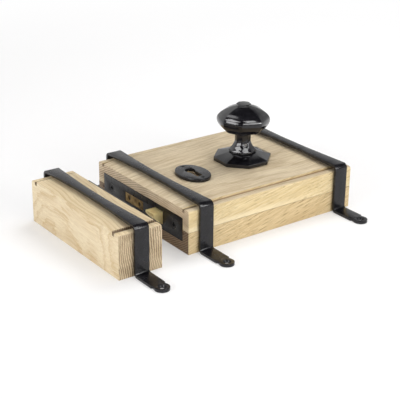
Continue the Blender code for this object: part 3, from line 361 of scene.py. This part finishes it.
# Each pattern is noise in the tree: its pace per millimetre along, across and through the grain,
# the axis along which a board's seed moves it, its detail and its roughness.
PATTERNS = {
    "rough": ((0.03, 0.35, 0.35), (0, 0, 0), 2.0, 0.6),
    "broad": ((0.01, 0.07, 0.07), (1, 0, 0), 2.0, 0.5),
    "dash": ((0.1, 1.5, 1.5), (1, 0, 0), 2.0, 0.55),
    "streak": ((0.015, 0.8, 0.8), (0, 0, 0), 3.0, 0.7),
    "fine": ((0.06, 2.0, 2.0), (0, 1, 0), 2.0, 0.6),
    "fleck": ((0.04, 0.3, 0.4), (0, 0, 1), 1.0, 0.5),
}


def tree_place(place, along, on_top, pith, slope, sway, seed):
    """The place in the tree as a vector, and its distance from the pith."""
    length, side = place.part(along), place.part("Y" if along == "X" else "X")
    slow = place.stretch(WANDER_PACE, WANDER_PACE, WANDER_PACE).shift((seed, seed, seed))
    wander = slow.noise(1.0, 1.0, 0.5, "Color")
    aside = (wander.part("X") - NOISE_MIDDLE) * sway
    above = (wander.part("Y") - NOISE_MIDDLE) * sway * SWAY_UP
    across = side + aside - length * slope[0]
    depth = place.part("Z") + above - length * slope[1]
    rise = depth * (1 - on_top * FLAT_CUT)
    grain = place.node("ShaderNodeCombineXYZ", None, {0: length, 1: across, 2: rise})
    reach = ((across - pith[0]) ** 2 + (rise - pith[1]) ** 2) ** 0.5
    return grain, reach


def pattern(grain, name, seed):
    pace, axis, detail, roughness = PATTERNS[name]
    moved = tuple(seed * share for share in axis)
    return grain.stretch(*pace).shift(moved).noise(1.0, detail, roughness)


print(len(PATTERNS), "patterns in the wood")

# %% [markdown]
# ## The colours of oak
#
# The rings are the distance from the pith, a line outside the board, and each board has its own.
# Along the grain the early wood, broad waves and streaks darken the ground colour, pale flecks
# are the rays, and the pores are dashes that also dent the surface. On the ends the same rings
# cross as lines, and the ends drink the light, so they are darker.


# %% Colours along the grain and on the ends
# A pair is where the soft step of a pattern starts and ends
WAVES = (0.3, 0.7)
STREAKS = (0.44, 0.60)
FLECKS = (0.5, 0.7)
FINE_GRAIN = (0.4, 0.65)
PORES = (0.53, 0.63)
LATE_PORES = 0.4  # what is left of the pores outside the early wood
LINE_STARTS = (0.0, 0.4)  # as a share of the year
LINE_ENDS = (0.55, 1.0)
LINE_SHARE = 0.8  # of the lines in the ends' pattern, and the rest is broad waves
END_WAVES = (0.4, 0.6)
END_DOTS = (0.45, 0.6)
END_DOT_SHARE = 0.25


def long_grain(marks, early, on_top, tones):
    """The colour along the grain, and how deep each point lies in a pore."""
    face = on_top.blend(tones["side"], tones["top"])
    shade = on_top.blend(tones["side_dark"], tones["top_dark"])
    dark = marks["broad"].between(*WAVES) * tones["wave_share"] + early * tones["ring_share"]
    body = dark.blend(face, shade)
    body = (marks["streak"].between(*STREAKS) * tones["streak_share"]).blend(body, shade)
    body = (marks["fleck"].between(*FLECKS) * tones["fleck_share"]).blend(body, tones["pale"])
    body = (marks["fine"].between(*FINE_GRAIN) * tones["fine_share"]).blend(body, tones["pore"])
    pores = marks["dash"].between(*PORES) * (LATE_PORES + (1 - LATE_PORES) * early)
    share = on_top.mix(tones["pore_share"], tones["top_share"])
    return (pores * share).blend(body, tones["pore"]), pores


def end_grain(marks, reach, tones):
    """The colour on an end, and its year lines, which are 1 where the wood is hard and pale."""
    year = (reach / tones["end_ring"] + marks["rough"] * END_WANDER).fraction()
    line = year.between(*LINE_STARTS) * (1 - year.between(*LINE_ENDS)) * LINE_SHARE
    line = line + marks["broad"].between(*END_WAVES) * (1 - LINE_SHARE)
    end = line.blend(tones["end_dark"], tones["end"])
    dots = marks["fine"].between(*END_DOTS) * END_DOT_SHARE
    return dots.blend(end, tones["end_dark"]), line


print("oak along the grain and on the ends")

# %% [markdown]
# ## One finish from both
#
# The way a surface faces says whether it shows the long grain or an end, and whether it is a top.
# Oak that is planed and left bare is matt, a little less so where the fine grain is hard. The
# relief is a fifth of a millimetre deep, and the pores and the dark end lines lie low in it.

# %% Make an oak finish
ON_TOP = (0.5, 0.9)  # how far the surface faces up
ON_END = (0.6, 0.95)  # how far it faces along the grain
EARLY_WOOD = (0.0, 0.55)  # as a share of the year
MATT = 0.66
POLISH = 0.14  # how much smoother the hardest grain is
OAK_SHINE = 0.3
OAK_RELIEF = (0.4, 0.2 * MM)  # its strength, and its depth in metres
FINE_HIGH = 0.5  # of the relief
END_LOW = 0.8


def oak_finish(board, along, pith, slope, ring, seed, tones):
    """Oak whose grain runs along X or Y, with its pith at this place across the grain."""
    material, shader, start = new_finish(f"oak_{board}")
    place = start.place().shift(tuple(-value for value in corner))
    place = place.stretch(1 / MM, 1 / MM, 1 / MM)
    facing = start.node("ShaderNodeNewGeometry", out="Normal")
    on_top = abs(facing.part("Z")).between(*ON_TOP)
    on_end = abs(facing.part(along)).between(*ON_END)
    grain, reach = tree_place(place, along, on_top, pith, slope, tones["sway"], seed)
    marks = {name: pattern(grain, name, seed) for name in PATTERNS}
    early = 1 - (reach / ring + marks["rough"] * RING_WANDER).fraction().between(*EARLY_WOOD)
    body, pores = long_grain(marks, early, on_top, tones)
    end, line = end_grain(marks, reach, tones)
    spot = [place.part(axis) for axis in "XYZ"]
    plug(shader, "Base Color", marked_and_shaded(on_end.blend(body, end), board, spot, on_top, tones))
    plug(shader, "Roughness", MATT - marks["fine"] * POLISH)
    plug(shader, "Specular IOR Level", OAK_SHINE)
    height = marks["fine"] * FINE_HIGH - pores - on_end * (1 - line) * END_LOW
    emboss(shader, height, *OAK_RELIEF)
    return material


print("oak: colour, roughness and relief")

# %% [markdown]
# ## Three boards
#
# No two boards of a real case match. The upper one is the palest, the lower one has more pores
# and darker ends, and the keep's grain wanders most, so that its rings run in loops. Each has
# its own tones, given as the photograph shows them in soft light.

# %% Oak for each board
upper_tones = {
    "sway": 14,  # how far the grain wanders, in millimetres
    "groove_unshaded": 1.4,  # how far down a groove is left without painted shade, in millimetres
    "end_ring": 2.2,  # width of a year on the ends, in millimetres
    "band": 0.5,
    "ring_share": 0.35,
    "wave_share": 0.35,
    "streak_share": 0.55,
    "fleck_share": 0.22,
    "fine_share": 0.16,
    "pore_share": 0.5,
    "top_share": 0.2,  # of the pores' colour on a top
    "side": rgb(233, 214, 169),
    "side_dark": rgb(210, 184, 132),
    "top": rgb(226, 210, 180),
    "top_dark": rgb(180, 158, 124),
    "pale": rgb(244, 230, 196),
    "pore": rgb(138, 110, 66),
    "end": rgb(219, 201, 173),
    "end_dark": rgb(163, 141, 114),
}
lower_tones = dict(
    upper_tones,
    band=0,
    pore_share=0.85,
    side=rgb(226, 205, 161),
    side_dark=rgb(196, 168, 122),
    pale=rgb(238, 220, 178),
    end=rgb(164, 142, 118),
    end_dark=rgb(100, 80, 62),
)
keep_tones = dict(
    upper_tones,
    sway=30,
    groove_unshaded=0.5,
    end_ring=1.75,
    band=0,
    ring_share=0.45,
    streak_share=0.22,
    pore_share=0.4,
    side=rgb(226, 212, 182),
    side_dark=rgb(196, 168, 124),
    top=rgb(232, 214, 178),
    top_dark=rgb(196, 170, 128),
    pore=rgb(170, 138, 92),
    end=rgb(218, 198, 164),
    end_dark=rgb(118, 95, 66),
)
# Each board's grain: its axis, its pith's place, its slope, the width of a year and its seed
grains = {
    "case_upper_board": ("X", (46, -120), (0.05, 0.22), 3.0, 0.0, upper_tones),
    "case_lower_board": ("X", (100, 150), (0.0, 0.25), 2.8, 7.3, lower_tones),
    "keep_block": ("Y", (-210, 22), (0.02, 0.03), 4.4, 3.1, keep_tones),
}
oak = {board: oak_finish(board, *grain) for board, grain in grains.items()}
print(len(oak), "oak boards")

# %% [markdown]
# ## Black iron
#
# The straps and plates are forged iron under a thin black lacquer. It is not one black: it is
# satin, with a faint unevenness from the hammer and the rolls that breaks up the reflection.
# That unevenness is in the bump and the roughness, and the colour itself hardly changes. The
# knob and its rose are castings, which carry a thicker and glossier coat.

# %% Make the iron finish
LACQUER = rgb(13, 12, 15)
WORN_LACQUER = rgb(25, 24, 28)
WORN_STEP = (0.3, 0.7)
HAMMER_MATT = 0.25  # how much the hammer marks change the roughness
SPECK_MATT = 0.15
SPECK_SHARE = 0.12  # of the relief
SPECKS = 6  # to a hammer mark
IRON_BUMP = 0.6


def iron_finish(name, roughness, size, depth, specular):
    """Black lacquer over iron whose hammer marks are about this many millimetres across."""
    material, shader, start = new_finish(name)
    place = start.place()
    hammer = place.noise(1 / (size * MM), detail=2.0, roughness=0.5)
    speck = place.noise(SPECKS / (size * MM), detail=2.0, roughness=0.6)
    uneven = (hammer - NOISE_MIDDLE) * HAMMER_MATT + (speck - NOISE_MIDDLE) * SPECK_MATT
    plug(shader, "Base Color", hammer.between(*WORN_STEP).blend(LACQUER, WORN_LACQUER))
    plug(shader, "Roughness", roughness + uneven)
    plug(shader, "Specular IOR Level", specular)
    emboss(shader, hammer + speck * SPECK_SHARE, IRON_BUMP, depth)
    return material


iron = iron_finish("black_iron", roughness=0.24, size=9, depth=0.0006, specular=0.42)
casting = iron_finish("black_casting", roughness=0.10, size=7, depth=0.0002, specular=0.5)
plate = iron_finish("black_plate", roughness=0.30, size=6, depth=0.0003, specular=0.25)
print("three iron finishes")

# %% [markdown]
# ## Brass and steel
# The bolts and the levers are brass that a mill has left with fine straight marks. The parts
# inside are bright steel. What is seen of a metal is the room, so a slight change of roughness
# along the milling does more than any colour. All brass but the dead bolt's is brighter than
# brass and only partly metallic here. This is painted light that keeps it pale in the shade
# between the keep and the case. All brass but the dead bolt's is only partly
# metallic here, because a dry film on it scatters some light and keeps it pale in a dark room.

# %% Make the bright metals
MILLING = (1, 14, 1)  # the marks run along X and Z, so they change fast along Y
MILL_PACE = 260  # per metre
STAIN_PACE = 120
STAINS = (0.35, 0.75)
MARK_MATT = 0.18  # how much the marks add to the roughness
MARK_RELIEF = (0.25, 0.1 * MM)  # its strength, and its depth in metres


def milled_finish(name, bright, dull, roughness, metallic=1.0):
    """Metal with fine straight marks and faint stains."""
    material, shader, start = new_finish(name)
    place = start.place()
    marks = place.stretch(*MILLING).noise(MILL_PACE, detail=3.0, roughness=0.6)
    stain = place.noise(STAIN_PACE, detail=3.0, roughness=0.6)
    plug(shader, "Base Color", stain.between(*STAINS).blend(bright, dull))
    plug(shader, "Roughness", roughness + marks * MARK_MATT)
    plug(shader, "Metallic", metallic)
    emboss(shader, marks, *MARK_RELIEF)
    return material


# Painted light: brightened and partly metallic, so that the latch stays pale in its shade
brass = milled_finish("brass", rgb(255, 238, 178), rgb(232, 206, 138), 0.36, 0.6)
dull_brass = milled_finish("dull_brass", rgb(156, 132, 88), rgb(80, 62, 38), 0.42)
steel = milled_finish("steel", rgb(176, 176, 178), rgb(130, 130, 134), 0.3)
hard_steel = milled_finish("hard_steel", rgb(84, 76, 66), rgb(40, 34, 30), 0.4)
print("two kinds of brass, two of steel")

# %% [markdown]
# ## A finish for every solid
#
# The record names a material slot for each solid, and most solids take their slot's finish. A
# few differ within their slot, such as the knob among the ironwork and the dead bolt, which is
# duller than the latch because nothing rubs it bright.

# %% Hand out the finishes
by_slot = {"black_iron": iron, "brass": brass, "steel": steel}
by_name = {
    **oak,
    **dict.fromkeys(("knob", "rose"), casting),
    **dict.fromkeys(("forend", "forend_screw_near", "forend_screw_far", "keep_plate"), plate),
    **dict.fromkeys(("roller_pin_1", "roller_pin_2"), hard_steel),
    "dead_bolt": dull_brass,
}
for name, node in nodes.items():
    finish = by_name.get(name) or by_slot[slot_of_node[name]]
    node.data.materials.clear()
    node.data.materials.append(finish)
print(len(by_name), "solids with a finish of their own,", len(nodes) - len(by_name), "by slot")

# %% [markdown]
# ## Eased edges
#
# No real edge is perfectly sharp: a plane takes the corner off oak, and forging and lacquer round
# the iron. Those small rounds are what draws a thin bright line along an edge. The solids have
# none, because they would cost thousands of faces, so each main piece that is seen gets a finer
# copy that stands for its solid. Blender's Bevel modifier rounds only the edges that are given a
# weight, and hardened normals keep the flat faces flat beside the rounds.

# %% Make a finer copy of a solid
SHARP = math.radians(26)  # an edge blunter than this is part of a curve
FLAT = math.radians(0.4)  # faces that meet at less than this are one
WELD = 1e-6  # in metres


def mark_edges(bm, chosen, ridge):
    """Mark the edges to round and keep the other sharp ones sharp. Returns how many to round."""
    weight = bm.edges.layers.float.new("bevel_weight_edge")
    rounded = 0
    for edge in bm.edges:
        if not edge.is_manifold or (edge.calc_face_angle() < SHARP and not ridge(edge)):
            continue
        edge.smooth = edge.is_convex and chosen(edge)
        if edge.smooth:
            edge[weight] = 1.0
            rounded += 1
    return rounded


def bevelled(piece, width, steps):
    """The mesh of a piece with rounds of this width in millimetres on its marked edges."""
    bevel = piece.modifiers.new("ease", "BEVEL")
    bevel.limit_method = "WEIGHT"
    bevel.width = width * MM
    bevel.segments = steps
    bevel.harden_normals = True
    finer = bpy.data.meshes.new_from_object(
        piece.evaluated_get(bpy.context.evaluated_depsgraph_get())
    )
    piece.modifiers.remove(bevel)
    return finer


def eased(name, width, chosen=lambda edge: True, steps=3, ridge=lambda edge: False):
    """A copy of a solid with rounds on its chosen edges. A ridge is rounded however blunt."""
    bm = bmesh.new()
    bm.from_mesh(nodes[name].data)
    bmesh.ops.remove_doubles(bm, verts=bm.verts, dist=WELD)
    bmesh.ops.dissolve_limit(bm, angle_limit=FLAT, verts=bm.verts, edges=bm.edges)
    rounded = mark_edges(bm, chosen, ridge)
    for face in bm.faces:
        face.smooth = True
    mesh = bpy.data.meshes.new(f"{name}_fine")
    bm.to_mesh(mesh)
    bm.free()
    piece = bpy.data.objects.new(f"{name}_fine", mesh)
    bpy.context.scene.collection.objects.link(piece)
    finer = bevelled(piece, width, steps)
    finer.materials.clear()
    finer.materials.append(nodes[name].data.materials[0])
    piece.data = finer
    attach(piece, body_of_node[name])
    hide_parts(name)
    print(f"{name}: {rounded} edges rounded, {len(finer.polygons)} faces")


# %% [markdown]
# ## The oak boards
#
# Only the edges that a hand can reach are eased. The joint between the two boards stays sharp,
# because they are glued and planed as one.

# %% Ease the oak
OAK_ROUNDS = {"case_upper_board": 0.45, "case_lower_board": 0.45, "keep_block": 0.5}
NEAR_JOINT = 0.5 * MM
ON_SIDE = 0.05 * MM
BEAD_DEEP = 4.5 * MM  # the bead and the grooves lie this far below the top, at most


def on_outside(name):
    """A test that holds for edges on the outside of a board, away from the joint."""
    low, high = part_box(name)

    def test(edge):
        spot = (edge.verts[0].co + edge.verts[1].co) / 2
        if abs(spot.z - lower_box[1].z) < NEAR_JOINT:
            return False
        inward = min(spot.x - low[0], high[0] - spot.x, spot.y - low[1], high[1] - spot.y)
        return inward < ON_SIDE or spot.z > high[2] - BEAD_DEEP

    return test


for name, width in OAK_ROUNDS.items():
    eased(name, width, on_outside(name))

# %% [markdown]
# ## The ironwork
#
# The straps have the softest edges, from the forge. The plates are cut from sheet and only
# lightly filed. The knob's and the rose's facets meet in blunt ridges, which a test for sharp
# edges would pass over, so these two have a test of their own that keeps the facets flat.

# %% Ease the iron
STRAP_ROUND = 0.45  # in millimetres, as the next four
ESCUTCHEON_ROUND = 0.3
SHEET_ROUND = 0.2
ROSE_ROUND = 0.4
KNOB_ROUND = 0.3
RIDGE_CLIMB = 0.02 * MM
RIDGE_ANGLE = math.radians(4)


def between_facets(edge):
    """Holds for an edge that runs up a casting between two facets, however blunt it is."""
    climb = abs(edge.verts[0].co.z - edge.verts[1].co.z)
    return climb > RIDGE_CLIMB and edge.calc_face_angle() > RIDGE_ANGLE


for name in ("strap_left", "strap_right", "strap_keep"):
    eased(name, STRAP_ROUND)
eased("escutcheon", ESCUTCHEON_ROUND)
for name in ("forend", "keep_plate"):
    eased(name, SHEET_ROUND)
eased("rose", ROSE_ROUND, ridge=between_facets)
eased("knob", KNOB_ROUND, steps=2, ridge=between_facets)

# %% [markdown]
# ## The brass
#
# A file has broken the sharp edges that the mill left on both bolts.

# %% Ease the brass
BRASS_ROUNDS = {"latch_bolt": 0.3, "dead_bolt": 0.25}
for name, width in BRASS_ROUNDS.items():
    eased(name, width)

# %% [markdown]
# ## The latch's spring
#
# The coil on the latch's tail stays in the case while the latch slides into it, so it shortens.
# The solid can't do that. A copy of its mesh stands for it, and the record says which end is held
# and how far the latch goes, from which its pressed length is worked out.

# %% A copy of the spring and its pressed length
FREE_PLAY = 0.2 * MM
joints = {joint["name"]: joint for joint in frame["record"]["behaviour"]["joints"]}
latch_joint = joints["latch_slide"]
held_end = latch_joint["deforming_nodes"][0]["fixed_end_x_m"]
coil_length = held_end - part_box("latch_spring")[0][0]
shortened = coil_length - latch_joint["range_m"][1] - FREE_PLAY
coil = bpy.data.objects.new("latch_spring_coil", nodes["latch_spring"].data.copy())
bpy.context.scene.collection.objects.link(coil)
for face in coil.data.polygons:
    face.use_smooth = True
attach(coil, body_of_node["latch_spring"])
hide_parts("latch_spring")
shortened / coil_length
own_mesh(coil)
print("spring", round(coil_length / MM, 1), "mm, pressed", round(shortened / MM, 1), "mm")

# %% [markdown]
# ## The table
#
# The photograph has a white table that runs up into a white wall. The table is a pale plane that
# keeps the shadow near the lock, and further out it turns into the white of the wall. A plane
# that only catches shadows would be simpler, but it would not throw its pale light back on the
# oak and the iron. The white glow that brightens it is only for the camera and for reflections,
# so it lights nothing.

# %% Make the table
WHITE = (1, 1, 1, 1)
TABLE_TONE = rgb(255, 254, 253)
TABLE_MATT = 0.9
TABLE_SHINE = 0.1
TABLE_HALF = 6  # half its side, in metres
TABLE_BELOW = 0.0001  # in metres
LIT_RADIUS = 0.4  # where it starts to turn white, in metres
WHITE_RADIUS = 1.0  # where it is all white
TABLE_GLOW = 0.3  # the glow's share next to the lock


def ray(start, kind):
    """1 for rays of this kind, such as Camera or Glossy, and 0 for all others."""
    path = start.tree.nodes.new("ShaderNodeLightPath")
    return Wire(start.tree, path.outputs[f"Is {kind} Ray"])


def seen_directly(start):
    """1 for the camera's rays and in reflections or glass, and 0 for light on a surface."""
    rays = ray(start, "Camera") + ray(start, "Glossy") + ray(start, "Transmission")
    return rays.between(0.0, 1.0)


bm = bmesh.new()
bmesh.ops.create_grid(bm, x_segments=1, y_segments=1, size=TABLE_HALF)
mesh = bpy.data.meshes.new("table")
bm.to_mesh(mesh)
bm.free()
floor = bpy.data.objects.new("table", mesh)
floor.location.z = -TABLE_BELOW
bpy.context.scene.collection.objects.link(floor)
material, shader, start = new_finish("table_white")
plug(shader, "Base Color", TABLE_TONE)
plug(shader, "Roughness", TABLE_MATT)
plug(shader, "Specular IOR Level", TABLE_SHINE)
glow = start.node("ShaderNodeEmission", None, {"Color": WHITE, "Strength": 1.0})
spot = start.place()
distance = (spot.part("X") ** 2 + spot.part("Y") ** 2) ** 0.5
share = TABLE_GLOW + (1 - TABLE_GLOW) * distance.between(LIT_RADIUS, WHITE_RADIUS)
paint = Wire(start.tree, shader.outputs["BSDF"])
parts = {0: seen_directly(start) * share, 1: paint, 2: glow}
mixed = start.node("ShaderNodeMixShader", None, parts)
plug(start.tree.nodes["Material Output"], "Surface", mixed)
floor.data.materials.append(material)
print("table, all white beyond", WHITE_RADIUS, "m")

# %% [markdown]
# ## The room
#
# The black iron is a dark mirror, so it shows what stands round it: the white wall behind the
# lock, higher on the left than on the right, and a dark room above and behind the camera. The
# camera sees plain white. Light on a surface comes from one even grey instead, so that the room
# adds no tint or shadow of its own to the oak.

# %% Set the background
AMBIENT = (0.42, 0.42, 0.43, 1)
DARK_ROOM = (0.05, 0.05, 0.055, 1)
# The rest are parts of a direction: how far it points up, left or ahead
FROM_RIGHT_TO_LEFT = (-0.3, 0.6)
FROM_CAMERA_TO_WALL = (-0.25, 0.2)
WALL_TOP = 0.42  # on the right
WALL_TOP_MORE = 0.36  # and this much higher on the left
WALL_FADE = 0.22
WALL_WHITE = 0.62  # how white the wall is on the right, where it is 1 on the left

world = bpy.data.worlds.new("studio")
bpy.context.scene.world = world
world.use_nodes = True
sky = Wire(world.node_tree)
direction = sky.node("ShaderNodeTexCoord", out="Generated")
ahead = direction.part("X") * math.cos(heading) + direction.part("Y") * math.sin(heading)
leftward = direction.part("Y") * math.cos(heading) - direction.part("X") * math.sin(heading)
left_share = leftward.between(*FROM_RIGHT_TO_LEFT)
wall_top = WALL_TOP + left_share * WALL_TOP_MORE
above = direction.part("Z").between(wall_top, wall_top + WALL_FADE)
wall = ahead.between(*FROM_CAMERA_TO_WALL) * (1 - above)
wall = wall * (WALL_WHITE + left_share * (1 - WALL_WHITE))
room = (ray(sky, "Glossy") * (1 - wall)).blend(WHITE, DARK_ROOM)
backdrop = world.node_tree.nodes["Background"]
plug(backdrop, "Color", seen_directly(sky).blend(AMBIENT, room))
plug(backdrop, "Strength", 1.0)
print("white wall and dark room")

# %% [markdown]
# ## Seven lamps
#
# Two broad soft lamps stand low in front, on the left and on the right. They light the near
# sides and make the bands on the knob. A third hangs behind and above and lights the tops, and it
# is kept out of reflections. The other four are small and show only as reflections, as a studio's
# windows do: two stand above the first lamps and make the patches on the knob's neck, one makes
# the spot on its crown, and one draws the pale line where a strap bends. Their places come from
# the direction that each facet mirrors, which a lamp placed by eye would miss by some degrees.

# %% Hang the lamps
aim = at(80, 75, 20)
LAMP_DISTANCE = 1.3  # in metres, as the lamps' sizes
TOP_DISTANCE = 1.6


def soft_light(name, azimuth, elevation, distance, size, power):
    """A lamp of so many watts, with its azimuth from +X and its elevation in degrees."""
    data = bpy.data.lights.new(name, "AREA")
    data.shape = "RECTANGLE"
    data.size, data.size_y = size
    data.energy = power
    lamp = bpy.data.objects.new(name, data)
    bpy.context.scene.collection.objects.link(lamp)
    turned, raised = math.radians(azimuth), math.radians(elevation)
    flat = distance * math.cos(raised)
    lift = distance * math.sin(raised)
    lamp.location = aim + Vector((flat * math.cos(turned), flat * math.sin(turned), lift))
    lamp.rotation_euler = (aim - lamp.location).to_track_quat("-Z", "Y").to_euler()
    lamp.visible_camera = False
    return lamp


def glint(name, azimuth, elevation, size, power):
    """A lamp that only shows as a reflection, such as a window's shine on the lacquer."""
    lamp = soft_light(name, azimuth, elevation, LAMP_DISTANCE, size, power)
    lamp.visible_diffuse = False


soft_light("left_lamp", 184, 18, LAMP_DISTANCE, (0.45, 0.5), 6.9)
soft_light("right_lamp", 279, 19, LAMP_DISTANCE, (0.75, 0.4), 7.6)
top_lamp = soft_light("top_lamp", 20, 60, TOP_DISTANCE, (1.0, 1.0), 13)
top_lamp.visible_glossy = False
glint("upper_left_glint", 176, 44, (0.4, 0.5), 6.0)
glint("upper_right_glint", 282, 44, (0.35, 0.42), 4.0)
glint("crown_glint", 130, 65, (0.35, 0.3), 1.1)
glint("bend_glint", 299, 20, (0.34, 0.16), 2.2)
bpy.context.scene.view_settings.view_transform = "Standard"
